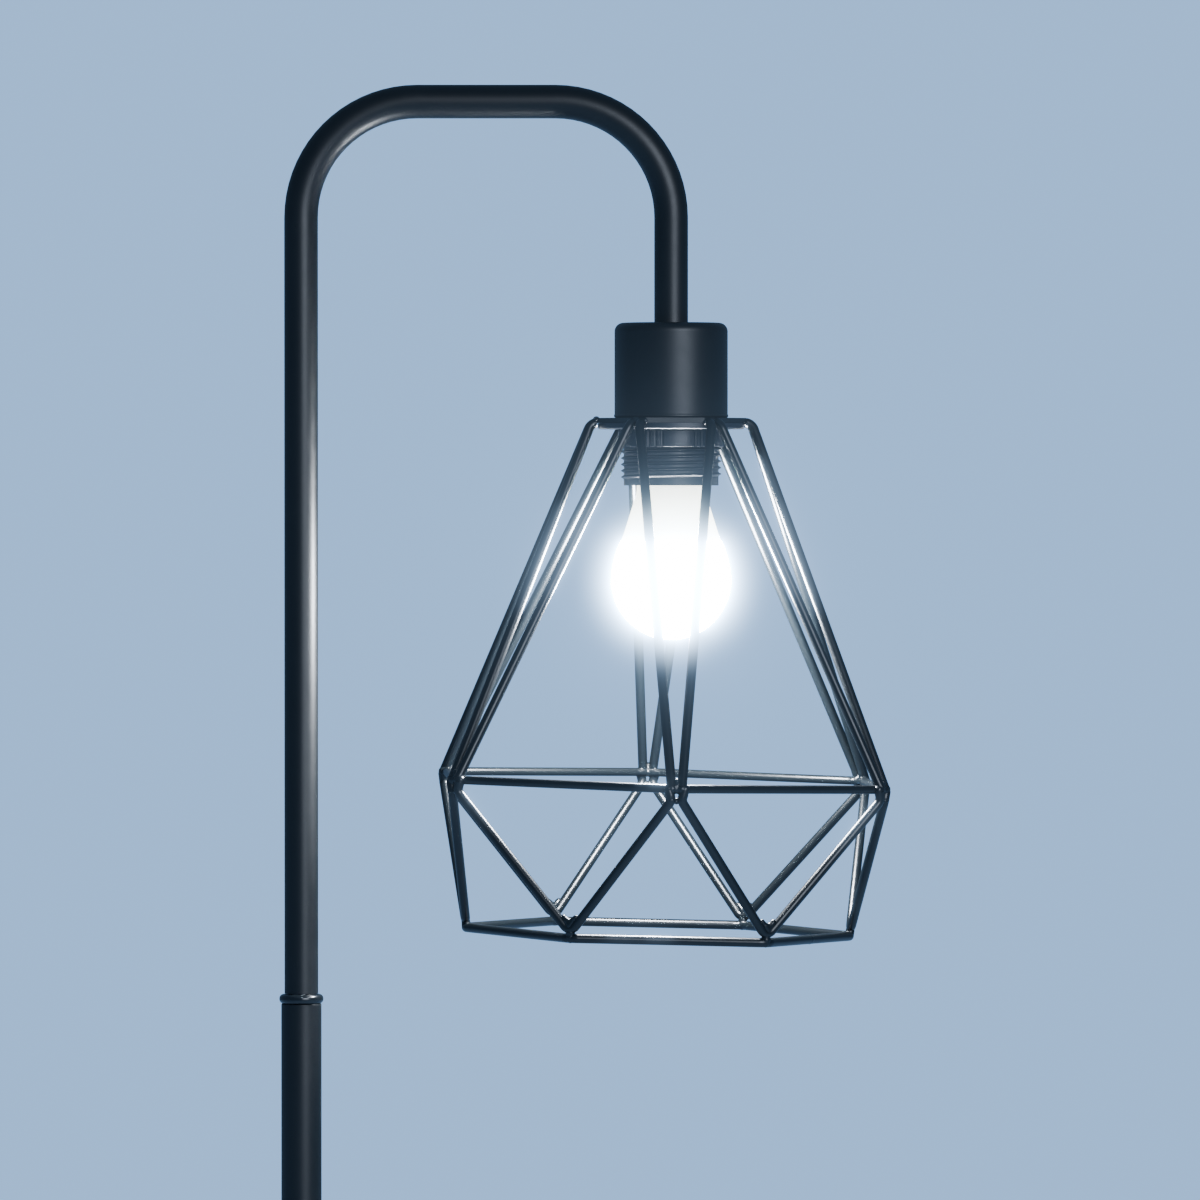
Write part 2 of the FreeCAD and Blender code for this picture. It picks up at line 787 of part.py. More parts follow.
def make_contacts():
    """The threaded shell's liner, the centre tongue and the side contact, riveted to the core."""
    inner = size("shell_bore") / 2
    wall = size("shell_wall")
    outer = inner + wall
    length = size("shell_length")
    mouth = size("shell_mouth") / 2
    outline = [(inner, 0), (outer, 0), (outer, length), (mouth, length), (mouth, length - wall),
               (inner, length - wall)]
    liner = turned("screw_shell", outline)
    side = -size("side_offset")
    hole = size("rivet_diameter") / 2 + size("push_clearance")
    cut_through(liner, "XY_Plane", "liner_hole", hole, [(side, 0)], length * 2, True)
    node(place(liner, REACH, z=CORE_FOOT - length), "screw_shell")

    rivet = size("rivet_diameter") / 2
    strip_thickness = size("tongue_thickness")
    width = size("tongue_width")
    strip_length = size("tongue_offset") + width
    strip = place(box("tongue_strip", strip_length, width, strip_thickness),
                  REACH - width / 2, -width / 2, CORE_FOOT - strip_thickness - size("turning_gap"))
    stem = place(cylinder("tongue_rivet", rivet, CORE_TOP - CORE_FOOT + size("turning_gap")),
                 REACH + size("tongue_offset"), z=CORE_FOOT - size("turning_gap"))
    node(joined("centre_contact", strip, stem), "centre_contact")

    head = place(cylinder("side_head", rivet + wall * 2, wall), REACH + side, z=CORE_FOOT - wall * 2)
    pin = place(cylinder("side_rivet", rivet, CORE_TOP - CORE_FOOT + wall), REACH + side, z=CORE_FOOT - wall)
    node(joined("side_contact", head, pin), "side_contact")


def make_terminals():
    """Two brass blocks on the core, the screws in them, and the two wires that they grip."""
    wide, deep, tall = size("terminal_width"), size("terminal_depth"), size("terminal_height")
    offset = size("terminal_offset")
    shaft = size("terminal_screw") / 2
    hole = shaft + size("thread_clearance")
    grip = deep / 2
    head = size("terminal_screw_head") / 2
    head_height = size("terminal_screw") / 2
    backward = Rotation(Vector(1, 0, 0), 90)
    blocks = []
    screws = []
    for side, sign in (("left", -1), ("right", 1)):
        across = REACH + offset * sign
        level = CORE_TOP + tall / 2
        block = place(box(f"terminal_{side}_block", wide, deep, tall), across - wide / 2, -deep / 2, CORE_TOP)
        tap = place(cylinder(f"terminal_{side}_tap", hole, deep), across, deep / 2, level, turn=backward)
        blocks.append(less(f"terminal_{side}", block, tap))
        shank = place(cylinder(f"screw_{side}_shank", shaft, grip), across, deep / 2, level, turn=backward)
        cheese = cylinder(f"screw_{side}_head", head, head_height)
        place(cheese, across, deep / 2 + head_height, level, turn=backward)
        screws.append(joined(f"screw_{side}", shank, cheese))
    node(grouped("terminals", *blocks), "terminals")
    node(grouped("terminal_screws", *screws), "terminal_screws")

    width = as_number(size("core_diameter"))
    start = as_number(LEAD_END)
    end = as_number(CORE_TOP + tall)
    third = (start - end) / 3
    reach = as_number(REACH)
    near = as_number(size("core_spacing")) / 2
    far = as_number(offset)
    wires = []
    for sign in (-1, 1):
        points = [
            Vector(reach + sign * near, 0, start),
            Vector(reach + sign * near, 0, start - third),
            Vector(reach + sign * far, 0, end + third),
            Vector(reach + sign * far, 0, end),
        ]
        wires.append(rod_along(bent_line(points, as_number(size("core_bend"))), width))
    feature("lead_cores", Part.makeCompound(wires))


# ---- the cage --------------------------------------------------------------------------------------

SEAT = CUP_RIM - size("seat_gap")


def below_seat(radius, heading, aside, drop):
    """A spot measured from the seat: its radius and heading, a step sideways, and how far it is below."""
    angle = math.radians(heading)
    outward = Vector(math.cos(angle), math.sin(angle), 0)
    sideways = Vector(-math.sin(angle), math.cos(angle), 0)
    return outward * radius + sideways * aside - Vector(0, 0, drop)


def on_plate(radius, heading, aside, drop):
    """A spot on the plate, or where the wires bend beside it."""
    return Vector(as_number(REACH), 0, as_number(SEAT)) + below_seat(radius, heading, aside, drop)


def on_cage(radius, heading, aside, drop):
    """A spot on the wires further down, which were welded a little out of square with the plate."""
    lean = Rotation(Vector(0, 1, 0), as_number(size("cage_lean")))
    spot = lean.multVec(below_seat(radius, heading, aside, drop))
    return Vector(as_number(REACH), 0, as_number(SEAT)) + spot


def corner_headings(first):
    """Six headings, 60 degrees apart, turned with the cage."""
    return [first + as_number(size("cage_turn")) + 60 * step for step in range(6)]


def make_cage_plate():
    """The hexagonal plate, its corners trimmed to take two wires each, with a hole for the holder."""
    thick = as_number(size("plate_thickness"))
    reach = as_number(size("plate_reach"))
    land = as_number(size("upright_wire") + size("upright_gap") / 2)
    hole = as_number(size("thread_diameter") / 2 + size("plate_clearance"))
    corners = []
    for heading in corner_headings(0):
        corners += [on_plate(reach, heading, -land, thick), on_plate(reach, heading, land, thick)]
    sheet_metal = Part.Face(Part.makePolygon(corners + corners[:1])).extrude(Vector(0, 0, thick))
    centre = Vector(as_number(REACH), 0, as_number(SEAT) - thick)
    feature("cage_plate", sheet_metal.cut(Part.makeCylinder(hole, thick, centre)))


def make_hoop(label, radius, drop, wire, first):
    """A wire bent to a hexagon and butt-welded in the middle of one side."""
    corners = [on_cage(radius, heading, 0, drop) for heading in corner_headings(first)]
    start = (corners[0] + corners[-1]) * 0.5
    path = bent_line([start] + corners + [start], as_number(size("hoop_bend")))
    return feature(label, rod_along(path, wire))


def coped(rod, hoop):
    """The part of a rod that is left outside the hoop that it is welded to."""
    pieces = rod.cut(hoop.Shape).Solids
    return max(pieces, key=lambda piece: piece.Volume)


def make_uprights(middle):
    """Twelve straight wires. Each corner of the plate sends one to each of the two nearest bends."""
    wire = as_number(size("upright_wire"))
    beside = (wire + as_number(size("upright_gap"))) / 2
    weld = as_number(size("plate_reach") + size("weld_gap"))
    slope = math.tan(math.radians(as_number(size("shoulder_slope"))))
    bend = as_number(size("upright_bend"))
    number = 0
    for heading in corner_headings(0):
        outward = below_seat(1, heading, 0, slope).normalize()
        for side in (-1, 1):
            number += 1
            start = on_plate(weld, heading, side * beside, wire / 2)
            end = on_cage(as_number(size("middle_radius")), heading + 30 * side, -side * beside,
                          as_number(size("middle_drop") - size("weld_step")))
            turn = outward.getAngle(end - start)
            shoulder = start + outward * (bend * math.tan(turn / 2) + as_number(size("shoulder_land")))
            rod = rod_along(bent_line([start, shoulder, end], bend), wire)
            feature(f"cage_upright_{number:02d}", coped(rod, middle))


def vee_tip(heading, knees, bend):
    """Where a bent wire's two legs would meet, so that the bend between them rests on the lower hoop."""
    hoop_bend = as_number(size("hoop_bend"))
    hoop_corner = as_number(size("bottom_radius")) - hoop_bend / math.sin(math.radians(60)) + hoop_bend
    seat = on_cage(hoop_corner, heading, 0, as_number(size("bottom_drop")))
    upward = ((knees[0] + knees[1]) * 0.5 - seat).normalize()
    touch = as_number((size("bottom_wire") + size("vee_wire")) / 2 + size("weld_gap"))
    centre = seat + upward * (touch + bend)
    leg = knees[0] - centre
    half = leg.getAngle(upward) - math.asin(bend / leg.Length)
    return centre - upward * (bend / math.sin(half))


def make_vees(middle):
    """Six bent wires. Each stands on a corner of the lower hoop and holds two bends of the middle one."""
    wire = as_number(size("vee_wire"))
    radius = as_number(size("middle_radius"))
    level = as_number(size("middle_drop") + size("weld_step"))
    knee = as_number(size("middle_drop") + size("vee_knee_drop"))
    spread = (wire + as_number(size("vee_spread"))) / 2
    pinch = wire / 2 + as_number(size("weld_gap"))
    knee_bend = as_number(size("vee_knee_bend"))
    tip_bend = as_number(size("vee_bend"))
    for number, heading in enumerate(corner_headings(0), 1):
        knees = [on_cage(radius, heading - 30, pinch, knee), on_cage(radius, heading + 30, -pinch, knee)]
        points = [
            on_cage(radius, heading - 30, spread, level),
            knees[0],
            vee_tip(heading, knees, tip_bend),
            knees[1],
            on_cage(radius, heading + 30, -spread, level),
        ]
        bends = [knee_bend, tip_bend, knee_bend]
        rod = rod_along(bent_line(points, bends), wire)
        feature(f"cage_vee_{number}", coped(rod, middle))


def make_cage():
    make_cage_plate()
    middle = make_hoop("cage_middle_hoop", as_number(size("middle_radius")), as_number(size("middle_drop")),
                       as_number(size("middle_wire")), 30)
    make_hoop("cage_lower_hoop", as_number(size("bottom_radius")), as_number(size("bottom_drop")),
              as_number(size("bottom_wire")), 0)
    make_uprights(middle)
    make_vees(middle)


# ---- the screw ring --------------------------------------------------------------------------------

def make_shade_ring():
    """The ring under the cage's plate: a flange, and a neck with smooth pads and flutes between them."""
    bore = size("thread_diameter") / 2 + size("ring_clearance")
    flange = size("ring_flange_diameter") / 2
    neck = size("ring_neck_diameter") / 2
    height = size("ring_neck_height")
    top = height + size("ring_flange_thickness")
    outline = [(bore, 0), (neck, 0), (neck, height), (flange, height), (flange, top), (bore, top)]
    ring = turned("shade_ring", outline)
    round_edges(ring, [(flange, height)], size("ring_edge_round"))
    round_edges(ring, [(neck, 0)], size("ring_foot_round"))
    flute = size("ring_flute_radius")
    reach = neck + flute / 2
    pads = as_number(size("ring_pad_count"))
    count = int(as_number(size("ring_flute_count")))
    gap_heading = as_number(size("ring_pad_heading")) - 90 + 180 / pads
    spots = []
    for number in range(count):
        heading = gap_heading + (number - (count - 1) / 2) * as_number(size("ring_flute_step"))
        spots.append((reach * math.cos(math.radians(heading)), reach * math.sin(math.radians(heading))))
    cut_through(ring, "XY_Plane", "grip_flutes", flute, spots, height, True)
    pattern = ring.newObject("PartDesign::PolarPattern", "grip_flutes_all_round")
    pattern.Originals = [doc.getObject("grip_flutes")]
    pattern.Axis = (doc.getObject("grip_flutes_circles"), ["N_Axis"])
    pattern.Angle = 360
    tie(pattern, "Occurrences", size("ring_pad_count"))
    ring.Tip = pattern
    place(ring, REACH, z=SEAT - size("plate_thickness") - size("seat_gap") - top)
    node(ring, "shade_ring")


# ---- the bulb --------------------------------------------------------------------------------------

TIP_TOP = CORE_FOOT - size("turning_gap") - size("tongue_thickness") - size("tip_gap")
BEAD_FOOT = TIP_TOP - size("tip_height") - size("glass_bead_height")
BULB_CAP_FOOT = BEAD_FOOT - size("bulb_cap_height")
HOUSING_FOOT = BULB_CAP_FOOT - size("housing_height")


def make_bulb_cap():
    """The tip, the glass bead round it, and the threaded metal cap."""
    tip = size("tip_diameter") / 2
    land = size("tip_land") / 2
    height = size("tip_height")
    solder = turned("bulb_tip", [(0, 0), (tip, 0), (land, height), (0, height)])
    node(place(solder, REACH, z=TIP_TOP - height), "bulb_tip")
    wide = size("glass_bead_diameter") / 2
    rise = size("glass_bead_height")
    glass = turned("bulb_glass_bead", [(0, 0), (wide, 0), (tip, rise), (0, rise)])
    node(place(glass, REACH, z=BEAD_FOOT), "bulb_glass_bead")
    root = as_number(size("bulb_thread_root") / 2)
    wall = as_number(size("bulb_wall")) / 2
    height = as_number(size("bulb_cap_height"))
    pitch = as_number(size("bulb_thread_pitch"))
    crest = as_number(size("bulb_thread_diameter") / 2)
    plain_end = pitch * 0.8
    hollow = Part.makeCylinder(root - wall, height)
    ridge = screw_thread(root, crest, pitch, height - plain_end * 2, plain_end)
    shell = Part.makeCylinder(root, height).fuse(ridge).cut(hollow)
    place(feature("bulb_cap", shell), REACH, z=BULB_CAP_FOOT)


def make_bulb_body():
    """The moulded housing that flares from the cap, and the opal globe below it."""
    wall = size("bulb_wall")
    height = size("housing_height")
    neck = size("neck_diameter") / 2
    flare = size("flare_diameter") / 2
    globe = size("globe_diameter") / 2
    waist = height - size("neck_waist")
    belly = waist - size("flare_height")
    rim = flare + wall
    outline = [(neck - wall, height), (neck, height), (neck, waist), (flare, belly), (rim, 0),
               (rim - wall, 0), (flare - wall, belly), (neck - wall, waist)]
    housing = turned("bulb_housing", outline)
    round_edges(housing, [(neck, waist)], size("neck_round"))
    node(place(housing, REACH, z=HOUSING_FOOT), "bulb_housing")

    rim = as_number(rim)
    outer = as_number(globe)
    thick = as_number(wall)
    shoulder = as_number(size("globe_shoulder"))
    fullness = as_number(size("globe_fullness"))

    def skin(offset):
        """Half of the globe's outline, from its rim round to its lowest point."""
        radius = outer - offset
        edge = rim - offset
        middle = Vector(edge + (radius - edge) * fullness, 0, -shoulder / 2)
        upper = Part.Arc(Vector(edge, 0, 0), middle, Vector(radius, 0, -shoulder))
        cheek = Vector(radius * math.sqrt(0.5), 0, -shoulder - radius * math.sqrt(0.5))
        lower = Part.Arc(Vector(radius, 0, -shoulder), cheek, Vector(0, 0, -shoulder - radius))
        return [upper.toShape(), lower.toShape()]

    outside = skin(0)
    inside = skin(thick)
    lowest = -shoulder - outer
    bottom = Part.LineSegment(Vector(0, 0, lowest), Vector(0, 0, lowest + thick)).toShape()
    top = Part.LineSegment(Vector(rim, 0, 0), Vector(rim - thick, 0, 0)).toShape()
    outline = Part.Wire(Part.__sortEdges__(outside + [bottom, top] + inside))
    shape = Part.Face(outline).revolve(Vector(), Vector(0, 0, 1), 360)
    place(feature("bulb_globe", shape), REACH, z=HOUSING_FOOT)


def make_bulb_electronics():
    """The round board that carries the LEDs, and the driver board behind it in the housing."""
    thick = size("led_board_thickness")
    radius = size("flare_diameter") / 2 - size("bulb_wall") - size("board_clearance")
    board = cylinder("led_board", radius, thick)
    node(place(board, REACH, z=HOUSING_FOOT + size("bulb_wall")), "led_board")
    wide = size("driver_width")
    slim = size("driver_thickness")
    driver = box("driver_board", wide, slim, size("driver_height"))
    place(driver, REACH - wide / 2, -slim / 2, HOUSING_FOOT + size("bulb_wall") + thick)
    node(driver, "driver_board")


# ---- building and writing --------------------------------------------------------------------------

make_base()
make_foot_screw()
make_cord_gland(make_pole())
make_pole_joints()
make_swivel()
make_swivel_bush()
make_arch()
make_head_stud()
make_leads()
make_cup()
make_holder_cap()
make_holder_body()
make_holder_core()
make_contacts()
make_terminals()
make_cage()
make_shade_ring()
make_bulb_cap()
make_bulb_body()
make_bulb_electronics()
doc.recompute()

for item in doc.Objects:
    if "Invalid" in item.State or "Error" in item.State:
        raise RuntimeError(f"{item.Name} is not built: {item.State}")
for item in NODES:
    if item.Shape.isNull() or not item.Shape.isValid():
        raise RuntimeError(f"{item.Label} has no valid shape")

os.makedirs("parts", exist_ok=True)
for item in NODES:
    item.Shape.exportStep(f"parts/{item.Label}.step")
print(len(NODES), "sub-parts written")
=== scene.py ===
import math
import random

import bmesh
import bpy
from mathutils import Matrix, Vector


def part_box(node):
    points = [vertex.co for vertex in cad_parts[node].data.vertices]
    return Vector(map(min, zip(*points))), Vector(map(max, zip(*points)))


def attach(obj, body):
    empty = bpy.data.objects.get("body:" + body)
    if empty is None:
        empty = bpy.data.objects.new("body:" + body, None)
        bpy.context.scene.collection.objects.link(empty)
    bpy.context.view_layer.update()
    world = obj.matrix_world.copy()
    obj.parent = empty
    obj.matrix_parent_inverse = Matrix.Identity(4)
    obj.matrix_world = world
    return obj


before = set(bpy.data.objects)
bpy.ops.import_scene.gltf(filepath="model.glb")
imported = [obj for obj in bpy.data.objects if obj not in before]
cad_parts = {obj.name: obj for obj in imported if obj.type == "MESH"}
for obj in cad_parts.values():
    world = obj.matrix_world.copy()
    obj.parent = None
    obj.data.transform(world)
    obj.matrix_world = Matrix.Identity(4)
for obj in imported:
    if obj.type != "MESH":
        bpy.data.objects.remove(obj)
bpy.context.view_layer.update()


# ---- The camera -------------------------------------------------------------------------------------
# It looks along +Y and a little down from three and a half metres away, through a long lens. The arch
# and the cage then fill the square picture as they do in the photograph.

CAMERA_DIP = 0.793
CAMERA_PAN = -0.012

camera = bpy.data.objects.new("camera", bpy.data.cameras.new("camera"))
bpy.context.scene.collection.objects.link(camera)
camera.location = (0.118, -3.550, 1.3446)
camera.rotation_euler = (math.radians(90 - CAMERA_DIP), 0, math.radians(CAMERA_PAN))
camera.data.sensor_width = 36
camera.data.lens = 268
camera.data.clip_end = 100
bpy.context.scene.camera = camera

# The lit bulb is far brighter than the rest, and the lens spreads a glow round it: a tight, strong one
# that swallows the wires in front of the globe, and a wide faint one.
scene = bpy.context.scene
scene.use_nodes = True
picture = scene.node_tree.nodes["Render Layers"].outputs["Image"]
for size, strength, brightest in ((0.04, 1.0, 65), (0.30, 0.30, 14)):
    glow = scene.node_tree.nodes.new("CompositorNodeGlare")
    glow.glare_type = "BLOOM"
    glow.quality = "HIGH"
    glow.inputs["Threshold"].default_value = 5
    glow.inputs["Clamp"].default_value = True
    glow.inputs["Maximum"].default_value = brightest
    glow.inputs["Strength"].default_value = strength
    glow.inputs["Size"].default_value = size
    glow.inputs["Tint"].default_value = (0.58, 0.78, 1.0, 1)
    scene.node_tree.links.new(picture, glow.inputs["Image"])
    picture = glow.outputs["Image"]
scene.node_tree.links.new(picture, scene.node_tree.nodes["Composite"].inputs["Image"])


# ---- The studio -------------------------------------------------------------------------------------
# A pale matt floor, a pale blue room and one wide softbox to the right of the camera, which draws the
# long soft highlight on the tubes and on the cup. The room's reflection is dimmer than the room, as
# when only the wall behind is lit, so that the black paint stays black.

def linear(hex_colour):
    """An sRGB hex colour as the linear RGBA that shaders take."""
    channels = [int(hex_colour[start:start + 2], 16) / 255 for start in (1, 3, 5)]
    return [c / 12.92 if c <= 0.04045 else ((c + 0.055) / 1.055) ** 2.4 for c in channels] + [1]


def add_node(material, kind, settings=None, links=None):
    """Adds a node to a material or a world. Settings name its sockets or properties, and links join its
    sockets to outputs."""
    node = material.node_tree.nodes.new(kind)
    for name, value in (settings or {}).items():
        if isinstance(name, int) or name in node.inputs:
            node.inputs[name].default_value = value
        else:
            setattr(node, name, value)
    for name, output in (links or {}).items():
        material.node_tree.links.new(output, node.inputs[name])
    return node


def new_material(name):
    """An empty material with its output, and the object's own coordinates to lay a pattern out on."""
    material = bpy.data.materials.new(name)
    material.use_nodes = True
    material.node_tree.nodes.clear()
    place = add_node(material, "ShaderNodeTexCoord")
    return material, place.outputs["Object"]


def surface(material, settings, links):
    """Closes a material with its shader."""
    shader = add_node(material, "ShaderNodeBsdfPrincipled", settings, links)
    add_node(material, "ShaderNodeOutputMaterial", None, {"Surface": shader.outputs["BSDF"]})
    return material


FLOOR_REACH = 8

floor_paint, spot = new_material("matt_floor_paint")
cloud = add_node(floor_paint, "ShaderNodeTexNoise", {"Scale": 1.5, "Detail": 4}, {"Vector": spot})
tint = add_node(floor_paint, "ShaderNodeMix",
                {"data_type": "RGBA", 6: linear("#B9C4CC"), 7: linear("#C0CAD1")},
                {"Factor": cloud.outputs["Fac"]})
surface(floor_paint, {"Roughness": 0.85}, {"Base Color": tint.outputs[2]})

mesh = bmesh.new()
bmesh.ops.create_circle(mesh, cap_ends=True, segments=96, radius=FLOOR_REACH)
floor_mesh = bpy.data.meshes.new("floor")
mesh.to_mesh(floor_mesh)
mesh.free()
floor_mesh.materials.append(floor_paint)
floor = bpy.data.objects.new("floor", floor_mesh)
bpy.context.scene.collection.objects.link(floor)

room = bpy.data.worlds.new("room")
room.use_nodes = True
background = room.node_tree.nodes["Background"]
background.inputs["Color"].default_value = linear("#90BAEC")
sight = add_node(room, "ShaderNodeLightPath")
strength = add_node(room, "ShaderNodeMapRange", {"To Min": 1.4, "To Max": 0.34},
                    {"Value": sight.outputs["Is Glossy Ray"]})
room.node_tree.links.new(strength.outputs["Result"], background.inputs["Strength"])
room.cycles.sampling_method = "NONE"
bpy.context.scene.world = room

SOFTBOX_TARGET = Vector((0.1, 0, 1.3))

softbox = bpy.data.objects.new("softbox", bpy.data.lights.new("softbox", "AREA"))
bpy.context.scene.collection.objects.link(softbox)
softbox.data.shape = "RECTANGLE"
softbox.data.size = 1.5
softbox.data.size_y = 1.3
softbox.data.energy = 62
softbox.data.color = linear("#E4EFFF")[:3]
softbox.location = (1.25, -2.5, 1.95)
aim = SOFTBOX_TARGET - softbox.location
softbox.rotation_euler = aim.to_track_quat("-Z", "Y").to_euler()
softbox.visible_camera = False


# ---- The base ---------------------------------------------------------------------------------------
# A round steel plate, laser cut, powder coated satin black and baked, with a foam pad glued under it.
# A zinc-plated screw and washer come up through the plate and pull the pole down on a turned bush.

def dress(material, *nodes):
    """Gives pieces of the frame their finish."""
    for name in nodes:
        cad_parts[name].material_slots[0].material = material


def powder_coat(name, dark, light, roughness, peel, peel_height, stretch=(1, 1, 1)):
    """Baked polyester powder on steel: near black, with an orange peel of a given width and height. The
    stretch draws it out, as over marks that a tool left in the steel."""
    coat, spot = new_material(name)
    drift = add_node(coat, "ShaderNodeTexNoise", {"Scale": 1 / 0.030, "Detail": 3}, {"Vector": spot})
    tint = add_node(coat, "ShaderNodeMix", {"data_type": "RGBA", 6: linear(dark), 7: linear(light)},
                    {"Factor": drift.outputs["Fac"]})
    patch = add_node(coat, "ShaderNodeTexNoise", {"Scale": 1 / 0.006, "Detail": 2}, {"Vector": spot})
    rough = add_node(coat, "ShaderNodeMapRange", {"To Min": roughness - 0.04, "To Max": roughness + 0.04},
                     {"Value": patch.outputs["Fac"]})
    drawn = add_node(coat, "ShaderNodeMapping", {"Scale": stretch}, {"Vector": spot})
    ripple = add_node(coat, "ShaderNodeTexNoise", {"Scale": 1 / peel, "Detail": 1},
                      {"Vector": drawn.outputs["Vector"]})
    bump = add_node(coat, "ShaderNodeBump", {"Distance": peel_height}, {"Height": ripple.outputs["Fac"]})
    return surface(coat, {"Specular IOR Level": 0.4},
                   {"Base Color": tint.outputs[2], "Roughness": rough.outputs["Result"],
                    "Normal": bump.outputs["Normal"]})


satin_black = powder_coat("satin_powder_coated_steel", "#0B0D0E", "#111415", 0.42, 0.0020, 0.000012)
dress(satin_black, "base_plate")

# Closed-cell EVA foam, cut from sheet: dark grey, matt, with fine pores about 0.4 mm across.
foam, spot = new_material("eva_foam_sheet")
pores = add_node(foam, "ShaderNodeTexVoronoi", {"Scale": 1 / 0.0004}, {"Vector": spot})
bump = add_node(foam, "ShaderNodeBump", {"Distance": 0.0001}, {"Height": pores.outputs["Distance"]})
tint = add_node(foam, "ShaderNodeMix", {"data_type": "RGBA", 6: linear("#1C1D1E"), 7: linear("#2B2C2D")},
                {"Factor": pores.outputs["Distance"]})
surface(foam, {"Roughness": 0.9}, {"Base Color": tint.outputs[2], "Normal": bump.outputs["Normal"]})
dress(foam, "base_pad")

# Steel with a bright zinc plating: bluish silver with a fine blotchy crystal about 1 mm across.
zinc, spot = new_material("bright_zinc_plated_steel")
crystal = add_node(zinc, "ShaderNodeTexNoise", {"Scale": 1 / 0.001, "Detail": 3}, {"Vector": spot})
rough = add_node(zinc, "ShaderNodeMapRange", {"To Min": 0.22, "To Max": 0.38},
                 {"Value": crystal.outputs["Fac"]})
tint = add_node(zinc, "ShaderNodeMix", {"data_type": "RGBA", 6: linear("#B9BFC6"), 7: linear("#CBD0D4")},
                {"Factor": crystal.outputs["Fac"]})
surface(zinc, {"Metallic": 1}, {"Base Color": tint.outputs[2], "Roughness": rough.outputs["Result"]})
dress(zinc, "foot_screw", "foot_washer", "cup_nut", "lock_screw")


# ---- The pole ---------------------------------------------------------------------------------------
# Three steel tubes with the same powder coat, screwed end to end by turned studs in turned sockets. A
# moulded nylon bushing sits in a hole at the back, and the lead for the lamp runs up inside.

dress(satin_black, "pole_lower", "pole_middle", "pole_upper")

# Free-cutting steel turned on a lathe: bright, with fine tool rings 0.2 mm apart along the axis.
turned_steel, spot = new_material("turned_steel")
rings = add_node(turned_steel, "ShaderNodeTexWave", {"bands_direction": "Z", "Scale": 1 / 0.0002 / 20,
                                                     "Distortion": 1}, {"Vector": spot})
bump = add_node(turned_steel, "ShaderNodeBump", {"Distance": 0.00002}, {"Height": rings.outputs["Fac"]})
tint = add_node(turned_steel, "ShaderNodeMix",
                {"data_type": "RGBA", 6: linear("#9DA1A5"), 7: linear("#B4B8BB")},
                {"Factor": rings.outputs["Fac"]})
surface(turned_steel, {"Metallic": 1, "Roughness": 0.3},
        {"Base Color": tint.outputs[2], "Normal": bump.outputs["Normal"]})
dress(turned_steel, "foot_bush", "pole_sockets", "pole_studs", "swivel_stud", "swivel_collar", "head_stud")

# Nylon moulded in black, with the fine spark-eroded grain of its mould, about 0.3 mm across.
nylon, spot = new_material("moulded_black_nylon")
grain = add_node(nylon, "ShaderNodeTexNoise", {"Scale": 1 / 0.0003, "Detail": 2}, {"Vector": spot})
bump = add_node(nylon, "ShaderNodeBump", {"Distance": 0.00002}, {"Height": grain.outputs["Fac"]})
tint = add_node(nylon, "ShaderNodeMix", {"data_type": "RGBA", 6: linear("#121416"), 7: linear("#1A1C1E")},
                {"Factor": grain.outputs["Fac"]})
surface(nylon, {"Roughness": 0.5}, {"Base Color": tint.outputs[2], "Normal": bump.outputs["Normal"]})
dress(nylon, "cord_gland")

# Extruded PVC: the sheath of the lead in black, and its cores in brown, both slightly shiny.
def extruded_pvc(name, dark, light):
    """PVC drawn through a die: smooth, with faint streaks along its length."""
    pvc, spot = new_material(name)
    streak = add_node(pvc, "ShaderNodeTexNoise", {"Scale": 1 / 0.004, "Detail": 2}, {"Vector": spot})
    tint = add_node(pvc, "ShaderNodeMix", {"data_type": "RGBA", 6: linear(dark), 7: linear(light)},
                    {"Factor": streak.outputs["Fac"]})
    rough = add_node(pvc, "ShaderNodeMapRange", {"To Min": 0.35, "To Max": 0.5},
                     {"Value": streak.outputs["Fac"]})
    return surface(pvc, {}, {"Base Color": tint.outputs[2], "Roughness": rough.outputs["Result"]})


dress(extruded_pvc("extruded_pvc_sheath", "#101112", "#191A1B"), "pole_lead", "arch_lead")
dress(extruded_pvc("extruded_pvc_core", "#4A2A1B", "#5A3524"), "lead_cores")


# ---- The swivel -------------------------------------------------------------------------------------
# A turned bead with a glossier sprayed paint shows between pole and arch. A brass bush in the arch's
# foot turns on the hollow stud, under a collar.

bead_paint, spot = new_material("gloss_sprayed_paint")
flow = add_node(bead_paint, "ShaderNodeTexNoise", {"Scale": 1 / 0.003, "Detail": 1}, {"Vector": spot})
bump = add_node(bead_paint, "ShaderNodeBump", {"Distance": 0.00001}, {"Height": flow.outputs["Fac"]})
tint = add_node(bead_paint, "ShaderNodeMix",
                {"data_type": "RGBA", 6: linear("#0E1113"), 7: linear("#14181A")},
                {"Factor": flow.outputs["Fac"]})
surface(bead_paint, {"Roughness": 0.22}, {"Base Color": tint.outputs[2], "Normal": bump.outputs["Normal"]})
dress(bead_paint, "coupling_bead")

# Brass, drawn and cut: yellow, slightly dulled in patches about 4 mm across.
brass, spot = new_material("drawn_brass")
dull = add_node(brass, "ShaderNodeTexNoise", {"Scale": 1 / 0.004, "Detail": 4}, {"Vector": spot})
tint = add_node(brass, "ShaderNodeMix", {"data_type": "RGBA", 6: linear("#C79A4C"), 7: linear("#DBB469")},
                {"Factor": dull.outputs["Fac"]})
rough = add_node(brass, "ShaderNodeMapRange", {"To Min": 0.25, "To Max": 0.42},
                 {"Value": dull.outputs["Fac"]})
surface(brass, {"Metallic": 1}, {"Base Color": tint.outputs[2], "Roughness": rough.outputs["Result"]})
dress(brass, "swivel_bush", "terminals")


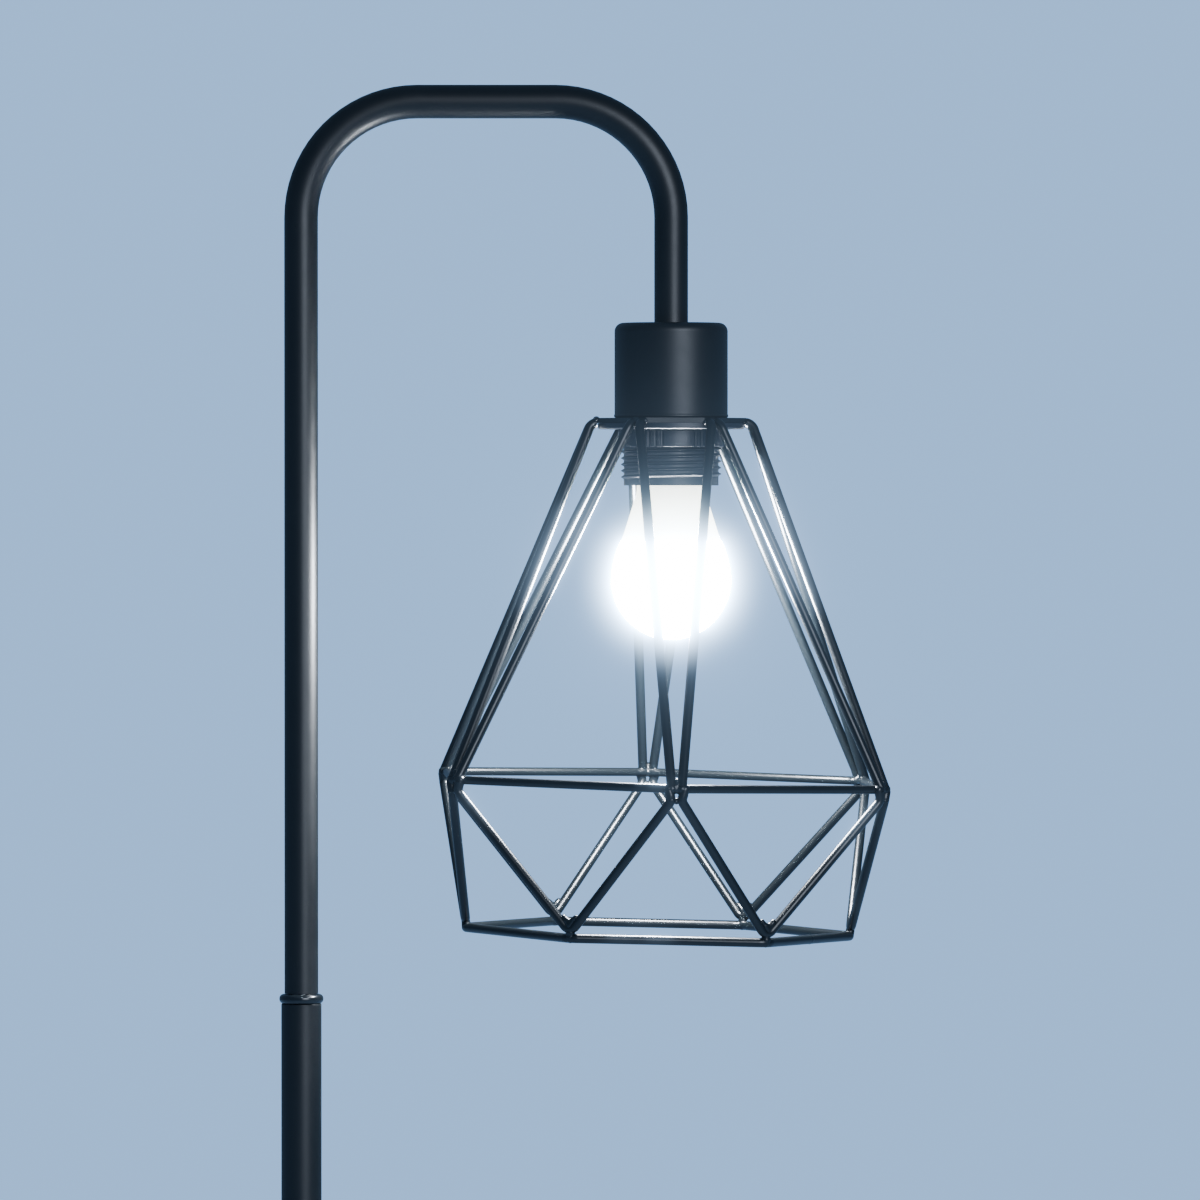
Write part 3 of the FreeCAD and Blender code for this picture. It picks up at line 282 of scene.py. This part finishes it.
# ---- The arch ---------------------------------------------------------------------------------------
# One steel tube, bent twice over a former and powder coated with the pole. Its end holds a turned plug
# with the threaded stub that carries the cup.

dress(satin_black, "arch_tube")


# ---- The cup ----------------------------------------------------------------------------------------
# Deep-drawn sheet steel with a rounded shoulder, powder coated like the tubes. It hides the lampholder.

spun_black = powder_coat("powder_coated_spun_steel", "#0B0D0E", "#111415", 0.42, 0.0010, 0.00001,
                         (0.06, 0.06, 1))
dress(spun_black, "lamp_cup")

# The cup's rim is turned in, which leaves a low hem round its foot.
HEM_HEIGHT = 0.0013
HEM_PROUD = 0.00022
HEM_OVERLAP = 0.0001
HEM_LIFT = 0.0001
HEM_STEPS = 16
cup_low, cup_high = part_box("lamp_cup")
cup_axis = Vector(((cup_low.x + cup_high.x) / 2, 0, cup_low.z))
cup_radius = (cup_high.x - cup_low.x) / 2
mesh = bmesh.new()
rim = []
for step in range(HEM_STEPS + 1):
    turn = math.tau * step / HEM_STEPS
    rim.append(mesh.verts.new((cup_radius - HEM_OVERLAP + (HEM_PROUD + HEM_OVERLAP) * math.cos(turn), 0,
                               HEM_LIFT + HEM_HEIGHT / 2 * (1 + math.sin(turn)))))
edges = [mesh.edges.new(pair) for pair in zip(rim, rim[1:])]
bmesh.ops.spin(mesh, geom=rim + edges, cent=(0, 0, 0), axis=(0, 0, 1), angle=math.tau, steps=160,
               use_merge=True)
bmesh.ops.remove_doubles(mesh, verts=mesh.verts, dist=0.000001)
bmesh.ops.recalc_face_normals(mesh, faces=mesh.faces)
bmesh.ops.translate(mesh, verts=mesh.verts, vec=cup_axis)
data = bpy.data.meshes.new("cup_hem")
mesh.to_mesh(data)
mesh.free()
data.materials.append(spun_black)
data.polygons.foreach_set("use_smooth", [True] * len(data.polygons))
hem = bpy.data.objects.new("cup_hem", data)
bpy.context.scene.collection.objects.link(hem)
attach(hem, "arch")


# ---- The lampholder ---------------------------------------------------------------------------------
# Moulded in black thermoplastic in two halves, with a screw thread outside for the ring. Inside are a
# ceramic disc, a brass shell and contacts, and two brass terminals with steel screws.

def moulded_plastic(name, dark, light, roughness):
    """Injection-moulded thermoplastic with the fine etched grain of its mould, about 0.4 mm across."""
    plastic, spot = new_material(name)
    grain = add_node(plastic, "ShaderNodeTexNoise", {"Scale": 1 / 0.0004, "Detail": 2}, {"Vector": spot})
    bump = add_node(plastic, "ShaderNodeBump", {"Distance": 0.00001}, {"Height": grain.outputs["Fac"]})
    flow = add_node(plastic, "ShaderNodeTexNoise", {"Scale": 1 / 0.010, "Detail": 2}, {"Vector": spot})
    tint = add_node(plastic, "ShaderNodeMix", {"data_type": "RGBA", 6: linear(dark), 7: linear(light)},
                    {"Factor": flow.outputs["Fac"]})
    return surface(plastic, {"Roughness": roughness},
                   {"Base Color": tint.outputs[2], "Normal": bump.outputs["Normal"]})


holder_plastic = moulded_plastic("moulded_black_polyester", "#191C20", "#20242A", 0.42)
dress(holder_plastic, "holder_cap", "holder_body")

# Pressed and fired steatite: off-white, matt, with tiny dark specks about 0.5 mm across.
steatite, spot = new_material("fired_steatite")
speck = add_node(steatite, "ShaderNodeTexNoise", {"Scale": 1 / 0.0005, "Detail": 2}, {"Vector": spot})
tint = add_node(steatite, "ShaderNodeMix",
                {"data_type": "RGBA", 6: linear("#D9D3C4"), 7: linear("#E8E3D7")},
                {"Factor": speck.outputs["Fac"]})
surface(steatite, {"Roughness": 0.7}, {"Base Color": tint.outputs[2]})
dress(steatite, "holder_core")

# Brass with an electroplated nickel skin: warm grey, fairly bright, faintly clouded.
nickel, spot = new_material("nickel_plated_brass")
cloud = add_node(nickel, "ShaderNodeTexNoise", {"Scale": 1 / 0.003, "Detail": 3}, {"Vector": spot})
tint = add_node(nickel, "ShaderNodeMix", {"data_type": "RGBA", 6: linear("#B5AFA4"), 7: linear("#C6C1B7")},
                {"Factor": cloud.outputs["Fac"]})
rough = add_node(nickel, "ShaderNodeMapRange", {"To Min": 0.2, "To Max": 0.34},
                 {"Value": cloud.outputs["Fac"]})
surface(nickel, {"Metallic": 1}, {"Base Color": tint.outputs[2], "Roughness": rough.outputs["Result"]})
dress(brass, "screw_shell", "centre_contact", "side_contact")
dress(zinc, "terminal_screws")


# ---- The cage ---------------------------------------------------------------------------------------
# Mild steel wire: two hexagonal hoops, twelve straight wires and six bent ones, spot welded to each
# other and to a stamped plate, then powder coated. The coat is glossier on the wires than on the tubes.

wire_coat = powder_coat("powder_coated_wire", "#090C0E", "#0F1416", 0.30, 0.0040, 0.0000006)
dress(wire_coat, "cage_plate", "cage_middle_hoop", "cage_lower_hoop")
dress(wire_coat, *[f"cage_upright_{number:02d}" for number in range(1, 13)])
dress(wire_coat, *[f"cage_vee_{number}" for number in range(1, 7)])

# The coat over the welds is the same powder, thicker, and lumpy where it ran over the beads.
weld_coat = powder_coat("powder_coated_weld", "#090C0E", "#11171A", 0.28, 0.0009, 0.00010)

# The cage's sizes in metres, and its turn and lean in degrees.
CAGE_TURN = 3
CAGE_LEAN = 1.45
MIDDLE_RADIUS = 0.097
MIDDLE_DROP = 0.1441
LOWER_RADIUS = 0.077
LOWER_DROP = 0.2043
PLATE_RADIUS = 0.0297
SHOULDER_RADIUS = 0.0321
HOOP_BEND = 0.005
WIRE = 0.0037
BESIDE = 0.00198
VEE_SPREAD = 0.0031
VEE_KNEE = 0.0044
WELD_INSET = 0.0003
SHOULDER_DROP = 0.0024
CORNER_CUT = HOOP_BEND * (1 / math.sin(math.radians(60)) - 1)

plate_low, plate_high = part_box("cage_plate")
plate_thickness = plate_high.z - plate_low.z
seat = Vector((cup_axis.x, 0, plate_high.z))


def on_cage(radius, heading, aside, drop):
    """A spot on the wires: its radius and heading, a step sideways, and how far it is below the plate."""
    angle = math.radians(heading + CAGE_TURN)
    spot = Vector((radius * math.cos(angle) - aside * math.sin(angle),
                   radius * math.sin(angle) + aside * math.cos(angle), -drop))
    return seat + Matrix.Rotation(math.radians(CAGE_LEAN), 3, "Y") @ spot


# The runs of metal: how far they reach from a joint, and by how much they stand proud of the wire or
# are sunk in it, all in metres. BEND_FILL is a share of the wire, PLATE_WELD_DEPTH one of the plate.
DROP_STEP = 0.0006
DROP_SPREAD = (0.94, 1.05)
BEAD_VOXEL = 0.00028
MIDDLE_HOOP_RUN = 0.0055
LOWER_HOOP_RUN = 0.005
HOOP_PROUD = 0.0001
HOOP_SUNK = 0.0006
UPRIGHT_RUN = 0.006
UPRIGHT_PROUD = 0.0003
UPRIGHT_SUNK = 0.0004
VEE_RUN = 0.004
VEE_PROUD = 0.0002
VEE_SUNK = 0.0007
KNEE_GAP = 0.0003
CROTCH_RISE = 0.003
FILL_INSET = 0.0006
FILL_DROP = 0.0004
BEND_FILL = 0.45
BEND_SUNK = 0.0001
PLATE_WELD_START = 0.0003
PLATE_WELD_END = 0.0034
PLATE_WELD_DEPTH = 0.75
PLATE_WELD_THICK = 0.0015
PLATE_WELD_THIN = 0.0011
BUTT_REACH = 0.0009
BUTT_PROUD = 0.0003

chance = random.Random(7)


def lay_metal(mesh, start, end, first, last):
    """Lays a run of overlapping drops from start to end, their radius going from first to last."""
    steps = max(1, round((end - start).length / DROP_STEP))
    for step in range(steps + 1):
        share = step / steps
        radius = (first + (last - first) * share) * chance.uniform(*DROP_SPREAD)
        bmesh.ops.create_icosphere(mesh, subdivisions=2, radius=radius,
                                   matrix=Matrix.Translation(start.lerp(end, share)))


def melt(name, mesh, body, material):
    """Melts laid drops into one smooth bead that rides on a body."""
    data = bpy.data.meshes.new(name)
    mesh.to_mesh(data)
    mesh.free()
    data.materials.append(material)
    bead = bpy.data.objects.new(name, data)
    bpy.context.scene.collection.objects.link(bead)
    remesh = bead.modifiers.new("melt", "REMESH")
    remesh.mode = "VOXEL"
    remesh.voxel_size = BEAD_VOXEL
    remesh.use_smooth_shade = True
    smooth = bead.modifiers.new("flow", "SMOOTH")
    smooth.factor = 0.6
    smooth.iterations = 8
    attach(bead, body)


# Weld beads where the straight and the bent wires meet the middle hoop. Each run starts a little
# proud of its wire and sinks into it. The small hole between the bent wires and the hoop stays open.
mesh = bmesh.new()
corner = MIDDLE_RADIUS - CORNER_CUT
for number in range(6):
    heading = 30 + 60 * number
    middle = on_cage(corner, heading, 0, MIDDLE_DROP)
    for side in (-1, 1):
        along = (on_cage(MIDDLE_RADIUS, heading + 60 * side, 0, MIDDLE_DROP) - middle).normalized()
        lay_metal(mesh, middle, middle + along * MIDDLE_HOOP_RUN,
                  WIRE / 2 + HOOP_PROUD, WIRE / 2 - HOOP_SUNK)
        foot = on_cage(MIDDLE_RADIUS - WELD_INSET, heading, side * BESIDE, MIDDLE_DROP)
        top = on_cage(SHOULDER_RADIUS, heading + 30 * side, -side * BESIDE, SHOULDER_DROP)
        upward = (top - foot).normalized()
        lay_metal(mesh, foot, foot + upward * UPRIGHT_RUN,
                  WIRE / 2 + UPRIGHT_PROUD, WIRE / 2 - UPRIGHT_SUNK)
        foot = on_cage(MIDDLE_RADIUS - WELD_INSET, heading, side * VEE_SPREAD, MIDDLE_DROP)
        knee = on_cage(MIDDLE_RADIUS, heading, side * (WIRE / 2 + KNEE_GAP), MIDDLE_DROP + VEE_KNEE)
        lay_metal(mesh, foot, knee, WIRE / 2 + VEE_PROUD, WIRE / 2)
    crotch = on_cage(MIDDLE_RADIUS, heading, 0, MIDDLE_DROP - CROTCH_RISE)
    lay_metal(mesh, middle, crotch, WIRE / 2, WIRE / 3)
    low = on_cage(MIDDLE_RADIUS - FILL_INSET, heading, 0, MIDDLE_DROP + VEE_KNEE + FILL_DROP)
    lay_metal(mesh, low, low, WIRE / 3, WIRE / 3)
melt("middle_hoop_welds", mesh, "cage", weld_coat)

# Weld beads between each bent wire and its corner of the lower hoop. They fill the bend's inside.
mesh = bmesh.new()
corner = LOWER_RADIUS - CORNER_CUT
for number in range(6):
    heading = 60 * number
    middle = on_cage(corner, heading, 0, LOWER_DROP)
    knees = [on_cage(MIDDLE_RADIUS, heading + 30 * side, -side * WIRE / 2, MIDDLE_DROP + VEE_KNEE)
             for side in (-1, 1)]
    upward = ((knees[0] + knees[1]) / 2 - middle).normalized()
    tip = middle + upward * WIRE
    inner = tip + upward * WIRE * BEND_FILL
    lay_metal(mesh, middle, inner, WIRE / 2 + VEE_PROUD, WIRE / 2 - BEND_SUNK)
    for side, knee in zip((-1, 1), knees):
        along = (on_cage(LOWER_RADIUS, heading + 60 * side, 0, LOWER_DROP) - middle).normalized()
        lay_metal(mesh, middle, middle + along * LOWER_HOOP_RUN,
                  WIRE / 2 + HOOP_PROUD, WIRE / 2 - HOOP_SUNK)
        lay_metal(mesh, inner, inner + (knee - tip).normalized() * VEE_RUN,
                  WIRE / 2 - BEND_SUNK, WIRE / 2 - VEE_SUNK)
melt("lower_hoop_welds", mesh, "cage", weld_coat)

# Weld beads along the trimmed corners of the plate, across the ends of each two wires. They lean with
# the wires, which the flat plate doesn't, so that they stand up to 0.75 mm off it.
mesh = bmesh.new()
for number in range(6):
    for side in (-1, 1):
        start = on_cage(PLATE_RADIUS, 60 * number, side * PLATE_WELD_START,
                        plate_thickness * PLATE_WELD_DEPTH)
        end = on_cage(PLATE_RADIUS, 60 * number, side * PLATE_WELD_END,
                      plate_thickness * PLATE_WELD_DEPTH)
        lay_metal(mesh, start, end, PLATE_WELD_THICK, PLATE_WELD_THIN)
melt("plate_welds", mesh, "cage", weld_coat)

# Butt welds where the ends of each hoop's wire meet, in the middle of one side: low rings of metal.
mesh = bmesh.new()
for radius, drop, heading in ((MIDDLE_RADIUS, MIDDLE_DROP, 0), (LOWER_RADIUS, LOWER_DROP, -30)):
    ends = [on_cage(radius, heading + 30 * side, 0, drop) for side in (-1, 1)]
    middle = (ends[0] + ends[1]) / 2
    along = (ends[1] - ends[0]).normalized() * BUTT_REACH
    for side in (-1, 1):
        lay_metal(mesh, middle, middle + along * side, WIRE / 2 + BUTT_PROUD, WIRE / 2)
melt("hoop_butt_welds", mesh, "cage", weld_coat)


# ---- The screw ring ---------------------------------------------------------------------------------
# Moulded in the same thermoplastic as the holder, with a fluted neck to grip. It clamps the cage.

dress(holder_plastic, "shade_ring")


# ---- The bulb ---------------------------------------------------------------------------------------
# An E27 LED bulb, lit: a nickel-plated cap with a solder tip in a glass bead, a white moulded housing
# with a painted glow, and an opal globe. Behind the globe are the boards.

# The housing's glow is painted light. It is brightest next to the globe and fades towards the cap, as the
# globe's light falls on it.
housing_painted_glow, spot = new_material("moulded_white_polycarbonate_painted_glow")
housing_low, housing_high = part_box("bulb_housing")
height = add_node(housing_painted_glow, "ShaderNodeSeparateXYZ", None, {"Vector": spot})
glow = add_node(housing_painted_glow, "ShaderNodeMapRange",
                {"From Min": housing_low.z, "From Max": housing_high.z, "To Min": 9, "To Max": 2.6},
                {"Value": height.outputs["Z"]})
cloud = add_node(housing_painted_glow, "ShaderNodeTexNoise", {"Scale": 1 / 0.008, "Detail": 2}, {"Vector": spot})
tint = add_node(housing_painted_glow, "ShaderNodeMix",
                {"data_type": "RGBA", 6: linear("#EFEFE6"), 7: linear("#F6F6F0")},
                {"Factor": cloud.outputs["Fac"]})
surface(housing_painted_glow, {"Roughness": 0.35, "Emission Color": linear("#F2F4E4")},
        {"Base Color": tint.outputs[2], "Emission Strength": glow.outputs["Result"]})
dress(housing_painted_glow, "bulb_housing")

opal, spot = new_material("opal_polycarbonate_lit")
globe_low, globe_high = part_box("bulb_globe")
height = add_node(opal, "ShaderNodeSeparateXYZ", None, {"Vector": spot})
glow = add_node(opal, "ShaderNodeMapRange", {"From Min": globe_low.z, "From Max": globe_high.z,
                                             "To Min": 190, "To Max": 170}, {"Value": height.outputs["Z"]})
surface(opal, {"Base Color": linear("#F7F9FB"), "Roughness": 0.3, "Emission Color": linear("#EEF5FF")},
        {"Emission Strength": glow.outputs["Result"]})
dress(opal, "bulb_globe")

# The light that the bulb gives the wires round it comes from a ball just larger than the globe, with
# far less grain than from the globe's own faces, which then only show.
for name in ("bulb_globe", "bulb_housing"):
    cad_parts[name].visible_diffuse = False
    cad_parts[name].visible_glossy = False
BULB_LIGHT_GAP = 0.0004
globe_radius = (globe_high.x - globe_low.x) / 2
bulb_light = bpy.data.objects.new("bulb_light", bpy.data.lights.new("bulb_light", "POINT"))
bpy.context.scene.collection.objects.link(bulb_light)
bulb_light.data.use_soft_falloff = False
bulb_light.data.shadow_soft_size = globe_radius + BULB_LIGHT_GAP
bulb_light.data.energy = 10.5
bulb_light.data.color = linear("#EEF5FF")[:3]
bulb_light.location = ((globe_low.x + globe_high.x) / 2, 0, globe_low.z + globe_radius)
bulb_light.visible_camera = False
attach(bulb_light, "bulb")

dress(nickel, "bulb_cap")

# Tin solder, poured and set in a shallow dome.
solder, spot = new_material("tin_solder")
grain = add_node(solder, "ShaderNodeTexNoise", {"Scale": 1 / 0.0008, "Detail": 3}, {"Vector": spot})
bump = add_node(solder, "ShaderNodeBump", {"Distance": 0.00005}, {"Height": grain.outputs["Fac"]})
tint = add_node(solder, "ShaderNodeMix", {"data_type": "RGBA", 6: linear("#A7AAAD"), 7: linear("#C2C4C6")},
                {"Factor": grain.outputs["Fac"]})
surface(solder, {"Metallic": 1, "Roughness": 0.32},
        {"Base Color": tint.outputs[2], "Normal": bump.outputs["Normal"]})
dress(solder, "bulb_tip")

# Black insulating glass, melted in place: very dark and glossy.
vitrite, spot = new_material("fused_black_glass")
wave = add_node(vitrite, "ShaderNodeTexNoise", {"Scale": 1 / 0.003, "Detail": 1}, {"Vector": spot})
bump = add_node(vitrite, "ShaderNodeBump", {"Distance": 0.00008}, {"Height": wave.outputs["Fac"]})
tint = add_node(vitrite, "ShaderNodeMix", {"data_type": "RGBA", 6: linear("#0A0A0C"), 7: linear("#141317")},
                {"Factor": wave.outputs["Fac"]})
surface(vitrite, {"Roughness": 0.08}, {"Base Color": tint.outputs[2], "Normal": bump.outputs["Normal"]})
dress(vitrite, "bulb_glass_bead")

# The boards: white solder mask on aluminium, and green solder mask on glass-filled epoxy.
def printed_board(name, dark, light):
    """Printed solder mask: smooth and slightly shiny, with the weave below it showing 0.8 mm apart."""
    board, spot = new_material(name)
    weave = add_node(board, "ShaderNodeTexChecker", {"Scale": 1 / 0.0008, "Color1": linear(dark),
                                                     "Color2": linear(light)}, {"Vector": spot})
    return surface(board, {"Roughness": 0.3}, {"Base Color": weave.outputs["Color"]})


dress(printed_board("white_masked_aluminium", "#E6E7E4", "#EEEFEC"), "led_board")
dress(printed_board("green_masked_epoxy", "#1E4A2C", "#245634"), "driver_board")
